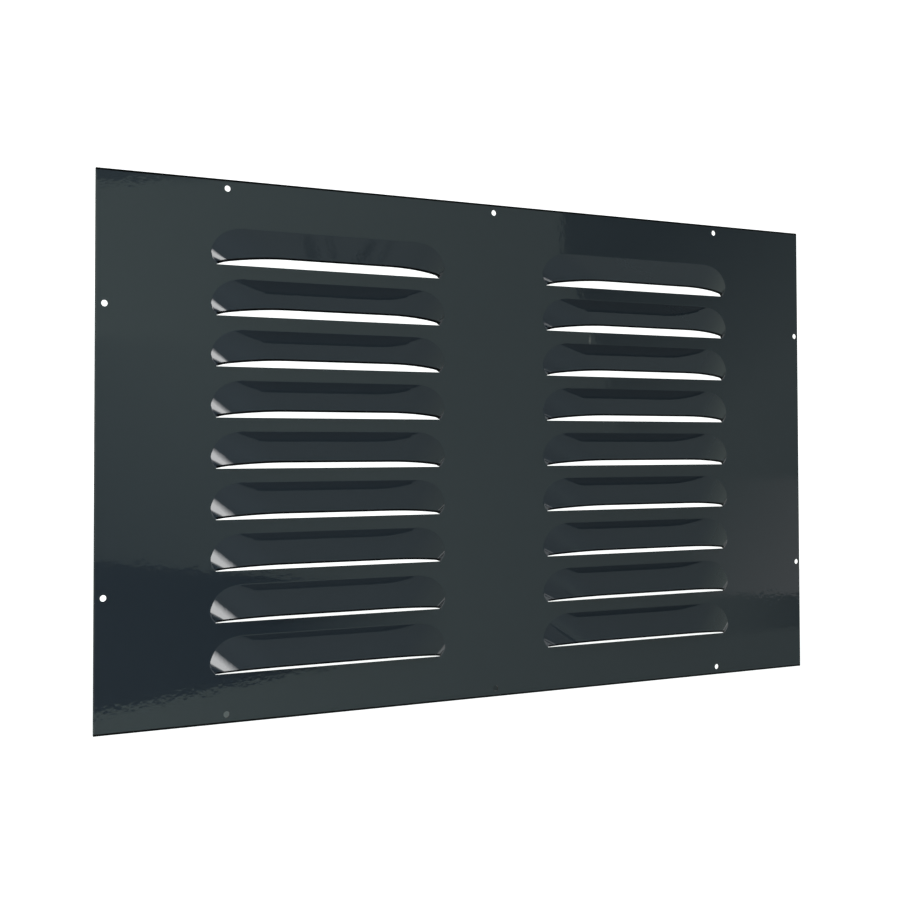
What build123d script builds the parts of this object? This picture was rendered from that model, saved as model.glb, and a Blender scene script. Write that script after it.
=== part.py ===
from build123d import *
import math
import os

# Louvred vent grille: one flat steel sheet with two columns of nine louvres pressed out of it.
# Millimetres, +Z up. The back face lies in the XZ plane with its centre at the origin, and the front
# faces -Y, so the louvres stand out towards -Y and open downwards.

# Sheet
panel_width = 480.0
panel_height = 300.0
sheet_thickness = 1.0
edge_break = 0.2

# Fixing holes: three along the top, three along the bottom, two down each side
hole_diameter = 3.5
row_hole_spacing = 168.0
side_hole_spacing = 156.0
top_hole_inset = 5.0
bottom_hole_inset = 5.0
left_hole_inset = 5.0
right_hole_inset = 2.6

# Louvre field, centred on the sheet
louvre_columns = 2
louvre_rows = 9
column_spacing = 211.5
row_pitch = 28.2

# One louvre is a hood above a slit: heights are above the slit, depths in front of the sheet.
hood_length = 144.0
hood_height = 20.5
hood_corner_radius = 37.0
lip_depth = 11.0
lip_rise = 3.7
lip_end_inset = 20.0
toe_size = 4.3
toe_angle = 60.0
toe_radius = 5.0
crease_radius = 1.0
slit_end_land = 3.5
slit_clearance = 0.2

# Allowances of the forming shapes beyond the finished louvre
form_overrun = 3.0
form_border = 4.0

front_y = -sheet_thickness
hood_angle = math.atan2(lip_depth, hood_height - lip_rise)
form_depth = lip_depth + form_overrun
form_foot = hood_height + form_overrun
patch_width = hood_length + 2 * form_border
patch_height = hood_height + form_border


def hood_wedge():
    """The hood as a solid wedge: a sloping face and two sloping ends, rounded into one another."""
    half = hood_length / 2
    deep_y = front_y - form_depth
    deep_half = half - lip_end_inset * form_depth / lip_depth
    deep_top = hood_height - (hood_height - lip_rise) * form_depth / lip_depth
    plan = Polyline(
        (half, front_y),
        (deep_half, deep_y),
        (-deep_half, deep_y),
        (-half, front_y),
        close=True,
    )
    side = Polyline(
        (front_y, -form_foot),
        (front_y, hood_height),
        (deep_y, deep_top),
        (deep_y, -form_foot),
        close=True,
    )
    wedge = extrude(Plane.XY.offset(-form_foot) * make_face(plan), hood_height + form_foot)
    wedge &= extrude(Plane.YZ * make_face(side), half, both=True)
    sloping_face = wedge.faces().sort_by(Axis.Z)[-1]
    corners = sloping_face.edges().sort_by(Axis.X)
    wedge = fillet([corners[0], corners[-1]], hood_corner_radius)
    for side in (-1, 1):
        wedge = turn_in_toe(wedge, side)
    return wedge


def turn_in_toe(wedge, side):
    """The foot of one end turned in towards the slit by a steep corner, rounded into the end."""
    steep = math.radians(toe_angle)
    toe = Plane(
        origin=(side * (hood_length / 2 - toe_size), front_y, 0),
        x_dir=(side, 0, 1),
        z_dir=(side * math.sin(steep), -math.sqrt(2) * math.cos(steep), -math.sin(steep)),
    )
    wedge = split(wedge, bisect_by=toe, keep=Keep.BOTTOM)
    bend = wedge.faces().filter_by(toe)[0].edges()
    bend = bend.filter_by_position(Axis.Y, front_y - form_depth, front_y, inclusive=(False, False))
    bend = bend.filter_by_position(Axis.Z, -form_foot, hood_height, inclusive=(False, False))
    return fillet(bend, toe_radius)


def forming_block(face_y, hood, radius):
    """A flat block with the hood raised from its face, and the crease between them rounded."""
    height = patch_height + form_foot
    block = Box(patch_width, form_depth, height, align=(Align.CENTER, Align.MIN, Align.MIN))
    form = Pos(0, face_y, -form_foot) * block + hood
    crease = form.edges().filter_by_position(Axis.Y, face_y, face_y)
    crease = crease.filter_by_position(Axis.X, -hood_length / 2, hood_length / 2)
    crease = crease.filter_by_position(Axis.Z, -form_foot, hood_height)
    return fillet(crease, radius)


def below_lip():
    """What the slit and the opening take away. The lip is left with an edge cut square to the hood."""
    lip_y = front_y - lip_depth
    inner_y = lip_y + sheet_thickness * math.cos(hood_angle)
    inner_z = lip_rise - sheet_thickness * math.sin(hood_angle)
    deep_y = front_y - form_depth
    deep_z = lip_rise + (lip_y - deep_y) * math.tan(hood_angle)
    side = Polyline(
        (form_overrun, slit_clearance),
        (0, slit_clearance),
        (inner_y, inner_z),
        (deep_y, deep_z),
        (deep_y, -form_foot),
        (form_overrun, -form_foot),
        close=True,
    )
    return extrude(Plane.YZ * make_face(side), hood_length / 2 - slit_end_land, both=True)


def louvre():
    """A rectangle of sheet from the slit up, with the hood pressed out of it at an even thickness."""
    hood = hood_wedge()
    inner_hood = Pos(0, sheet_thickness / math.cos(hood_angle), 0) * hood
    formed = forming_block(front_y, hood, crease_radius)
    formed -= forming_block(0, inner_hood, crease_radius + sheet_thickness)
    formed -= below_lip()
    room = Box(patch_width, 4 * form_depth, patch_height, align=(Align.CENTER, Align.CENTER, Align.MIN))
    return formed & room


def fixing_holes():
    """Centres of the ten fixing holes on the front face."""
    top = panel_height / 2 - top_hole_inset
    bottom = bottom_hole_inset - panel_height / 2
    left = left_hole_inset - panel_width / 2
    right = panel_width / 2 - right_hole_inset
    centres = [(column * row_hole_spacing, z) for z in (top, bottom) for column in (-1, 0, 1)]
    centres += [(x, side * side_hole_spacing / 2) for x in (left, right) for side in (-1, 1)]
    return centres


def louvre_places():
    """Middle of each slit, column by column from the top down."""
    left = -(louvre_columns - 1) / 2 * column_spacing
    top = (louvre_rows - 1) / 2 * row_pitch - hood_height / 2
    columns = [left + column * column_spacing for column in range(louvre_columns)]
    rows = [top - row * row_pitch for row in range(louvre_rows)]
    return [Pos(x, 0, z) for x in columns for z in rows]


def louvred_panel():
    """The sheet with its edges broken and its holes drilled, and a louvre let in at every place."""
    sheet = Box(panel_width, sheet_thickness, panel_height, align=(Align.CENTER, Align.MAX, Align.CENTER))
    sheet = chamfer(sheet.edges(), edge_break)
    hole = Rot(90, 0, 0) * Cylinder(hole_diameter / 2, 4 * sheet_thickness)
    sheet -= [Pos(x, 0, z) * hole for x, z in fixing_holes()]
    window_align = (Align.CENTER, Align.CENTER, Align.MIN)
    window = Box(patch_width, 4 * sheet_thickness, patch_height, align=window_align)
    places = louvre_places()
    sheet -= [place * window for place in places]
    pressed = louvre()
    return sheet + [place * pressed for place in places]


os.makedirs("parts", exist_ok=True)
export_step(louvred_panel(), "parts/louvred_panel.step")
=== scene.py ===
import math

import bmesh
import bpy
from mathutils import Matrix, Vector


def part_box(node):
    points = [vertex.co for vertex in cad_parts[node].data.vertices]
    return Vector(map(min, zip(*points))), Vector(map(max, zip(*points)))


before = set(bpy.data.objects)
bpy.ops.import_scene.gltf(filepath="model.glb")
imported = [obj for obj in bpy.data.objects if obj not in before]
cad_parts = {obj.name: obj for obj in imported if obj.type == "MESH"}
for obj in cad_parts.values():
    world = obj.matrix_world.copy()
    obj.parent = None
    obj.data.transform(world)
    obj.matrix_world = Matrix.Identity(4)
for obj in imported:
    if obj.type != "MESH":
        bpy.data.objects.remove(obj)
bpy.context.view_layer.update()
scene = bpy.context.scene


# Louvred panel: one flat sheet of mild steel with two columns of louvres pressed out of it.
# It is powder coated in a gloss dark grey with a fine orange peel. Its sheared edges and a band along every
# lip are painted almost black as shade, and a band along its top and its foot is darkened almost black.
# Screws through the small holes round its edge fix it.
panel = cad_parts["louvred_panel"]
panel_high = Vector(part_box("louvred_panel")[1])
coat_colour = (0.0182, 0.0250, 0.0318, 1.0)
coat_colour_deep = (0.0160, 0.0224, 0.0292, 1.0)
coat_gloss_roughness = (0.015, 0.035)
coat_ior = 1.52
colour_patch_scale = 9.0
colour_patch_detail = 3.0
orange_peel_scale = 420.0
orange_peel_detail = 1.0
orange_peel_depth = 0.000014
sheet_wave_scale = 14.0
sheet_wave_detail = 0.0
sheet_wave_depth = 0.00003
shade_and_dark_band_colour = (0.004, 0.0044, 0.0048, 1.0)
shade_and_dark_band_roughness = 0.55
sheared_edge_slant = 0.3
steep_face_slant = 0.6
louvre_pitch = 0.0282
middle_slit_height = -0.01025
lip_cut_slope = 0.2644
lip_shade_height = 0.0011
lip_shade_front = -0.0016
rim_band_width = 0.0011
rubbed_rim_colour = (0.075, 0.082, 0.080, 1.0)
rubbed_rim_width = 0.0009
rub_mark_scale = 160.0
rub_mark_detail = 4.0
scuff_place = (0.069, -0.001, 0.070)
scuff_reach = (0.0013, 0.0009, 0.0042)
scuff_colour = (0.11, 0.115, 0.115, 1.0)
scratch_cover = (0.46, 0.56)
join_distance = 0.00001
cut_edge_angle = math.radians(32.0)
flat_face_weight = 100


def new_material(name):
    """A new material with its node tree."""
    material = bpy.data.materials.new(name)
    material.use_nodes = True
    return material


def feed(tree, socket, source):
    """Gives an input its value, or links it to the output that feeds it."""
    if isinstance(source, bpy.types.NodeSocket):
        tree.links.new(source, socket)
    else:
        socket.default_value = source


def maths(tree, operation, *sources):
    """The result of one sum, from values or outputs in order."""
    node = tree.nodes.new("ShaderNodeMath")
    node.operation = operation
    for socket, source in zip(node.inputs, sources):
        feed(tree, socket, source)
    return node.outputs["Value"]


def vector_maths(tree, operation, *sources):
    """The vector that one sum gives, or its length or product, from vectors or outputs in order."""
    node = tree.nodes.new("ShaderNodeVectorMath")
    node.operation = operation
    for socket, source in zip(node.inputs, sources):
        feed(tree, socket, source)
    return node.outputs["Value" if operation in ("LENGTH", "DOT_PRODUCT") else "Vector"]


def object_place(tree):
    """The place of each point in the object's own coordinates."""
    return tree.nodes.new("ShaderNodeTexCoord").outputs["Object"]


def parts_of(tree, vector):
    """The X, Y and Z of a vector, as outputs by name."""
    node = tree.nodes.new("ShaderNodeSeparateXYZ")
    feed(tree, node.inputs["Vector"], vector)
    return node.outputs


def spread(tree, value, span, result=(0.0, 1.0)):
    """One span of values turned evenly into another and held at both ends."""
    node = tree.nodes.new("ShaderNodeMapRange")
    feed(tree, node.inputs["Value"], value)
    feed(tree, node.inputs["From Min"], span[0])
    feed(tree, node.inputs["From Max"], span[1])
    feed(tree, node.inputs["To Min"], result[0])
    feed(tree, node.inputs["To Max"], result[1])
    return node.outputs["Result"]


def mix(tree, kind, factor, first, second):
    """A mix of two values, colours or vectors."""
    node = tree.nodes.new("ShaderNodeMix")
    node.data_type = kind
    feed(tree, node.inputs["Factor"], factor)
    feed(tree, node.inputs["A"], first)
    feed(tree, node.inputs["B"], second)
    return node.outputs["Result"]


def noise(tree, place, scale, detail):
    """Cloudy noise over the surface."""
    node = tree.nodes.new("ShaderNodeTexNoise")
    feed(tree, node.inputs["Vector"], place)
    feed(tree, node.inputs["Scale"], scale)
    feed(tree, node.inputs["Detail"], detail)
    return node.outputs["Fac"]


def bump(tree, height, depth, normal):
    """A normal with fine relief on it."""
    node = tree.nodes.new("ShaderNodeBump")
    feed(tree, node.inputs["Height"], height)
    feed(tree, node.inputs["Distance"], depth)
    feed(tree, node.inputs["Normal"], normal)
    return node.outputs["Normal"]


def coat_material():
    """Gloss powder coat: dark and smooth on the faces, with painted shade at the cut edges and lips, a dark
    band at top and foot, and rubbed at the rim.
    """
    material = new_material("anthracite_powder_coat")
    tree = material.node_tree
    shader = tree.nodes["Principled BSDF"]
    shader.inputs["IOR"].default_value = coat_ior
    place = object_place(tree)
    spot = parts_of(tree, place)
    surface = tree.nodes.new("ShaderNodeNewGeometry")

    # Broad patches where the coat lies a little thicker and deeper in colour
    patches = noise(tree, place, colour_patch_scale, colour_patch_detail)
    colour = mix(tree, "RGBA", patches, coat_colour_deep, coat_colour)
    gloss = spread(tree, patches, (0.0, 1.0), coat_gloss_roughness)

    # The rim of the sheet, within a hair of its left and right edges, rubbed lighter in broken marks
    rim_start = panel_high - Vector((rubbed_rim_width, 0.0, rubbed_rim_width))
    from_middle = vector_maths(tree, "ABSOLUTE", place)
    past_rim = parts_of(tree, vector_maths(tree, "SUBTRACT", from_middle, rim_start))
    at_sides = spread(tree, past_rim["X"], (0.0, rubbed_rim_width))
    marks = noise(tree, place, rub_mark_scale, rub_mark_detail)
    rubbed = maths(tree, "MULTIPLY", at_sides, marks)
    colour = mix(tree, "RGBA", rubbed, colour, rubbed_rim_colour)

    # A small scuff between two louvres, where the coat is scratched pale
    from_scuff = vector_maths(tree, "SUBTRACT", place, scuff_place)
    off_middle = vector_maths(tree, "LENGTH", vector_maths(tree, "DIVIDE", from_scuff, scuff_reach))
    in_scuff = spread(tree, off_middle, (1.0, 0.0))
    scratches = spread(tree, marks, scratch_cover)
    scuffed = maths(tree, "MULTIPLY", in_scuff, scratches)
    colour = mix(tree, "RGBA", scuffed, colour, scuff_colour)

    # Faces that stand steep to the sheet: the lips and feet of the louvres and, steepest, sheared edges
    outward = maths(tree, "ABSOLUTE", parts_of(tree, surface.outputs["True Normal"])["Y"])
    steep = maths(tree, "LESS_THAN", outward, steep_face_slant)
    sheared = maths(tree, "LESS_THAN", outward, sheared_edge_slant)

    # The dark bands: a band along the sheet's top and foot, darkened almost black, and painted shade along
    # every lip, which is found by its height above the slope that the lips are cut to
    row = maths(tree, "WRAP", spot["Z"], middle_slit_height + louvre_pitch, middle_slit_height)
    above_cut = maths(tree, "MULTIPLY_ADD", spot["Y"], lip_cut_slope, row)
    near_cut = maths(tree, "LESS_THAN", above_cut, middle_slit_height + lip_shade_height)
    on_hood = maths(tree, "LESS_THAN", spot["Y"], lip_shade_front)
    painted_lip_shade = maths(tree, "MULTIPLY", near_cut, on_hood)
    along_rim = maths(tree, "GREATER_THAN", past_rim["Z"], rubbed_rim_width - rim_band_width)
    lip_shade_and_dark_band = maths(tree, "MAXIMUM", painted_lip_shade, along_rim)
    # Painted shade: sheared edges and lips are coloured almost black, as is the band along the top and foot
    painted_shade_and_dark_band = maths(tree, "MAXIMUM", sheared, lip_shade_and_dark_band)
    feed(tree, shader.inputs["Base Color"], mix(tree, "RGBA", painted_shade_and_dark_band, colour, shade_and_dark_band_colour))
    feed(tree, shader.inputs["Metallic"], painted_shade_and_dark_band)
    feed(tree, shader.inputs["Roughness"], mix(tree, "FLOAT", painted_shade_and_dark_band, gloss, shade_and_dark_band_roughness))

    # Fine orange peel over the slow waves that pressing leaves in the sheet. Steep faces are shaded flat.
    own_facing = mix(tree, "VECTOR", steep, surface.outputs["Normal"], surface.outputs["True Normal"])
    wave = noise(tree, place, sheet_wave_scale, sheet_wave_detail)
    wavy = bump(tree, wave, sheet_wave_depth, own_facing)
    peel = noise(tree, place, orange_peel_scale, orange_peel_detail)
    feed(tree, shader.inputs["Normal"], bump(tree, peel, orange_peel_depth, wavy))
    return material


panel.data.materials.clear()
panel.data.materials.append(coat_material())

# The faces of the model meet as loose triangles, so they are joined, parted again at the cut edges
# only, and shaded with the flat faces leading, which keeps reflections straight on the flat sheet.
joined = panel.modifiers.new("join_faces", "WELD")
joined.merge_threshold = join_distance
parted = panel.modifiers.new("part_cut_edges", "EDGE_SPLIT")
parted.split_angle = cut_edge_angle
shaded = panel.modifiers.new("flat_faces_lead", "WEIGHTED_NORMAL")
shaded.weight = flat_face_weight
shaded.keep_sharp = True


# Camera: to the left of the panel at the height of its middle, as the photograph was taken.
# It is turned to the right and a little up, and the frame is shifted down by the same small amount.
camera_place = (-0.37389, -0.68681, 0.0003)
camera_heading = math.radians(26.594)
camera_pitch = math.radians(1.4695)
camera_roll = math.radians(-0.121)
camera_sensor = 36.0
camera_lens = 51.14
camera_shift = -0.03754
camera_near = 0.01
camera = bpy.data.objects.new("camera", bpy.data.cameras.new("camera"))
camera.data.sensor_width = camera_sensor
camera.data.lens = camera_lens
camera.data.shift_y = camera_shift
camera.data.clip_start = camera_near
camera.matrix_world = (
    Matrix.Translation(camera_place)
    @ Matrix.Rotation(-camera_heading, 4, "Z")
    @ Matrix.Rotation(math.pi / 2 + camera_pitch, 4, "X")
    @ Matrix.Rotation(camera_roll, 4, "Z")
)
scene.collection.objects.link(camera)
scene.camera = camera
scene.view_settings.view_transform = "Standard"


# Studio: a pale floor below the panel and a white wall behind it. Neither is part of the object.
# Both glow softly where a camera or a mirror looks at them, so they show as plain white.
floor_height = -0.45
floor_front = -1.3
wall_distance = 3.0
studio_half_width = 4.0
wall_top = 4.0
studio_paint = (0.86, 0.86, 0.86, 1.0)
studio_roughness = 0.9
glow_white = (1.0, 1.0, 1.0, 1.0)
floor_glow = 0.85
wall_glow = 1.0


def stage_plane(name, corners, material):
    """A flat stage piece from its corners, in order."""
    shape = bmesh.new()
    shape.faces.new([shape.verts.new(corner) for corner in corners])
    mesh = bpy.data.meshes.new(name)
    shape.to_mesh(mesh)
    shape.free()
    plane = bpy.data.objects.new(name, mesh)
    mesh.materials.append(material)
    scene.collection.objects.link(plane)
    return plane


def studio_white(name, glow):
    """Matt pale paint that also glows for the rays of cameras, mirrors and glass."""
    material = new_material(name)
    tree = material.node_tree
    shader = tree.nodes["Principled BSDF"]
    shader.inputs["Base Color"].default_value = studio_paint
    shader.inputs["Roughness"].default_value = studio_roughness
    shader.inputs["Specular IOR Level"].default_value = 0.0
    shader.inputs["Emission Color"].default_value = glow_white
    ray = tree.nodes.new("ShaderNodeLightPath").outputs
    direct = maths(tree, "MAXIMUM", ray["Is Camera Ray"], ray["Is Glossy Ray"])
    seen = maths(tree, "MAXIMUM", direct, ray["Is Transmission Ray"])
    feed(tree, shader.inputs["Emission Strength"], maths(tree, "MULTIPLY", seen, glow))
    return material


stage_plane(
    "floor",
    [
        (-studio_half_width, floor_front, floor_height),
        (studio_half_width, floor_front, floor_height),
        (studio_half_width, wall_distance, floor_height),
        (-studio_half_width, wall_distance, floor_height),
    ],
    studio_white("pale_floor", floor_glow),
)
stage_plane(
    "wall",
    [
        (-studio_half_width, wall_distance, floor_height),
        (studio_half_width, wall_distance, floor_height),
        (studio_half_width, wall_distance, wall_top),
        (-studio_half_width, wall_distance, wall_top),
    ],
    studio_white("white_wall", wall_glow),
)


# Room cards: plain cards that the glossy sheet mirrors as darker or paler patches. Each outline is given
# where the sheet or a topmost hood shows it to the camera, and the card stands in the room beyond that.
# A dark mat on the floor is mirrored by the feet of the louvres. The camera sees none of them directly.
card_reach = 3.3
mat_rise = 0.01
dark_tone = (0.0, 0.0, 0.0, 1.0)
pale_tone = (0.78, 0.78, 0.76, 1.0)
mirrored_camera = Vector((camera_place[0], -camera_place[1], camera_place[2]))
top_hood_height = 0.12305
hood_front = -0.001
hood_depth = 0.011
hood_drop = 0.0168
hood_angle = math.atan2(hood_depth, hood_drop)

# Ceiling bars: name, place along the hood at its crease and at its lip, half width and strength
ceiling_bars = [
    ("wide_bar", -0.1214, -0.1214, 0.0036, 0.55),
    ("thin_bar", -0.1085, -0.1085, 0.0017, 0.5),
    ("wide_slanted_bar", -0.0800, -0.0940, 0.0030, 0.6),
    ("thin_slanted_bar", -0.0681, -0.0822, 0.0015, 0.4),
]
bar_clear_share = -1.5


def seen_in_sheet(x, z):
    """The place in the room that the sheet mirrors to the camera at one point of its face."""
    return mirrored_camera + card_reach * (Vector((x, 0.0, z)) - mirrored_camera)


def seen_in_top_hood(x, share):
    """The place that the topmost hoods mirror at one point, given along them and down their slope."""
    facing = Vector((0.0, -math.cos(hood_angle), math.sin(hood_angle)))
    crease = Vector((0.0, hood_front, top_hood_height))
    behind_hood = Vector(camera_place)
    behind_hood -= 2.0 * (behind_hood - crease).dot(facing) * facing
    point = crease + Vector((x, -share * hood_depth, -share * hood_drop))
    return behind_hood + card_reach * (point - behind_hood)


def on_floor(x, y):
    """A place just above the floor."""
    return Vector((x, y, floor_height + mat_rise))


def plain_tone(name, tone):
    """A material that only glows, in one tone."""
    material = new_material(name)
    shader = material.node_tree.nodes["Principled BSDF"]
    shader.inputs["Base Color"].default_value = dark_tone
    shader.inputs["Specular IOR Level"].default_value = 0.0
    shader.inputs["Emission Color"].default_value = tone
    shader.inputs["Emission Strength"].default_value = 1.0
    return material


def room_card(name, tone, outline, full, clear, strength, seen=seen_in_sheet):
    """A card of one tone that thins out evenly between two points, as the sheet or a hood shows them."""
    start = seen(*full)
    way = seen(*clear) - start
    begin = start.dot(way) / way.length_squared
    material = plain_tone(name, tone)
    tree = material.node_tree
    along = vector_maths(tree, "DOT_PRODUCT", object_place(tree), way / way.length_squared)
    cover = spread(tree, along, (begin, begin + 1.0), (strength, 0.0))
    feed(tree, tree.nodes["Principled BSDF"].inputs["Alpha"], cover)
    card = stage_plane(name, [seen(*point) for point in outline], material)
    card.visible_camera = False
    return card


room_card(
    "dark_table",
    dark_tone,
    [(-0.27, -0.0545), (-0.03, -0.0855), (-0.03, -0.1140), (-0.27, -0.1420)],
    full=(-0.14, -0.10),
    clear=(-0.03, -0.10),
    strength=1.0,
)
room_card(
    "shade_above_table",
    dark_tone,
    [(-0.27, 0.06), (-0.03, 0.06), (-0.03, -0.0855), (-0.27, -0.0545)],
    full=(-0.25, -0.06),
    clear=(-0.15, 0.04),
    strength=0.6,
)
room_card(
    "dark_stand",
    dark_tone,
    [(0.048, 0.17), (0.050, 0.123), (0.075, 0.07), (0.092, 0.01), (0.26, 0.01), (0.26, 0.17)],
    full=(0.09, 0.12),
    clear=(0.17, 0.01),
    strength=0.75,
)
room_card(
    "dark_rail",
    dark_tone,
    [(0.16, -0.097), (0.26, -0.102), (0.26, -0.123), (0.16, -0.125)],
    full=(0.24, -0.11),
    clear=(0.15, -0.11),
    strength=0.45,
)
room_card(
    "pale_board",
    pale_tone,
    [(0.15, -0.02), (0.26, -0.02), (0.26, -0.102), (0.15, -0.0965)],
    full=(0.24, -0.09),
    clear=(0.17, -0.02),
    strength=0.85,
)
room_card(
    "dark_beam",
    dark_tone,
    [(-0.27, 0.17), (-0.27, 0.1395), (-0.16, 0.150), (-0.16, 0.17)],
    full=(-0.22, 0.15),
    clear=(-0.16, 0.15),
    strength=0.8,
)
dark_mat = room_card(
    "dark_mat",
    dark_tone,
    [(-1.3, -0.75), (-0.3, -0.75), (-0.3, 0.25), (-1.3, 0.25)],
    full=(-0.5, 0.0),
    clear=(-5.0, 0.0),
    strength=1.0,
    seen=on_floor,
)
dark_mat.visible_diffuse = False
dark_mat.visible_shadow = False
for name, top, low, half, strength in ceiling_bars:
    room_card(
        name,
        dark_tone,
        [(top - half, 0.0), (top + half, 0.0), (low + half, 1.0), (low - half, 1.0)],
        full=(low, 1.0),
        clear=(top, bar_clear_share),
        strength=strength,
        seen=seen_in_top_hood,
    )


# Backdrop chips: two small dark cards close behind two of the lower holes, part of the studio only.
# The photograph shows these two holes dark and the others white. The cards show to the front alone.
chip_gap = 0.0015
chip_half_size = 0.0032
chip_shift = (0.0010, -0.0003)
lower_hole_height = -0.145
backdrop_chips = [
    ("grey_chip", -0.168, (0.098, 0.118, 0.116, 1.0)),
    ("dark_chip", 0.0, (0.026, 0.033, 0.035, 1.0)),
]


def backdrop_chip(name, hole_x, tone):
    """A small card behind one hole, clear from its back."""
    material = plain_tone(name, tone)
    tree = material.node_tree
    surface = tree.nodes.new("ShaderNodeNewGeometry")
    front = maths(tree, "SUBTRACT", 1.0, surface.outputs["Backfacing"])
    feed(tree, tree.nodes["Principled BSDF"].inputs["Alpha"], front)
    left = hole_x + chip_shift[0] - chip_half_size
    right = hole_x + chip_shift[0] + chip_half_size
    foot = lower_hole_height + chip_shift[1] - chip_half_size
    top = lower_hole_height + chip_shift[1] + chip_half_size
    corners = [(left, foot), (right, foot), (right, top), (left, top)]
    chip = stage_plane(name, [(x, chip_gap, z) for x, z in corners], material)
    chip.visible_diffuse = False
    chip.visible_glossy = False
    chip.visible_shadow = False


for name, hole_x, tone in backdrop_chips:
    backdrop_chip(name, hole_x, tone)


# Light: a reflector umbrella on the left of the camera, which falls off softly towards its edge,
# and a grey room around the panel, lighter to the right of the camera than near it or overhead.
umbrella_place = (-0.8145, -0.858, 0.065)
umbrella_target = (-0.1, 0.0, 0.0)
umbrella_half_size = (0.34, 0.48)
umbrella_sides = 64
umbrella_radiance = 11.0
umbrella_profile = [(0.0, 1.0), (0.55, 0.95), (0.80, 0.45), (1.0, 0.0)]
room_tones = [
    (0.28, (0.20, 0.21, 0.20, 1.0)),
    (0.46, (0.26, 0.28, 0.26, 1.0)),
    (0.60, (0.56, 0.68, 0.57, 1.0)),
    (0.73, (0.43, 0.51, 0.44, 1.0)),
    (0.84, (0.37, 0.43, 0.40, 1.0)),
]
ceiling_tone = (0.31, 0.36, 0.36, 1.0)
ceiling_slopes = (0.30, 0.60)


def colour_ramp(tree, value, stops):
    """The colour that a row of stops gives for a value."""
    node = tree.nodes.new("ShaderNodeValToRGB")
    elements = node.color_ramp.elements
    while len(elements) < len(stops):
        elements.new(1.0)
    for element, (position, colour) in zip(elements, stops):
        element.position = position
        element.color = colour
    feed(tree, node.inputs["Fac"], value)
    return node.outputs["Color"]


def umbrella():
    """A round reflector that faces the panel, with its brightness as a mirror shows it."""
    shape = bmesh.new()
    bmesh.ops.create_circle(shape, cap_ends=True, segments=umbrella_sides, radius=1.0)
    mesh = bpy.data.meshes.new("umbrella")
    shape.to_mesh(mesh)
    shape.free()
    material = new_material("lit_umbrella")
    tree = material.node_tree
    shader = tree.nodes["Principled BSDF"]
    shader.inputs["Base Color"].default_value = dark_tone
    shader.inputs["Emission Strength"].default_value = umbrella_radiance
    stops = [(position, (tone, tone, tone, 1.0)) for position, tone in umbrella_profile]
    from_middle = vector_maths(tree, "LENGTH", object_place(tree))
    feed(tree, shader.inputs["Emission Color"], colour_ramp(tree, from_middle, stops))
    mesh.materials.append(material)
    lamp = bpy.data.objects.new("umbrella", mesh)
    aim = Vector(umbrella_target) - Vector(umbrella_place)
    turn = aim.to_track_quat("Z", "Y").to_matrix().to_4x4()
    size = Matrix.Diagonal((*umbrella_half_size, 1.0, 1.0))
    lamp.matrix_world = Matrix.Translation(umbrella_place) @ turn @ size
    lamp.visible_camera = False
    scene.collection.objects.link(lamp)


def grey_room():
    """The light of the room: a band of greys round the horizon under a darker ceiling."""
    room = bpy.data.worlds.new("grey_room")
    room.use_nodes = True
    tree = room.node_tree
    ways = parts_of(tree, tree.nodes.new("ShaderNodeTexCoord").outputs["Generated"])
    horizon = colour_ramp(tree, spread(tree, ways["X"], (-1.0, 1.0)), room_tones)
    overhead = spread(tree, ways["Z"], ceiling_slopes)
    tone = mix(tree, "RGBA", overhead, horizon, ceiling_tone)
    feed(tree, tree.nodes["Background"].inputs["Color"], tone)
    return room


umbrella()
scene.world = grey_room()
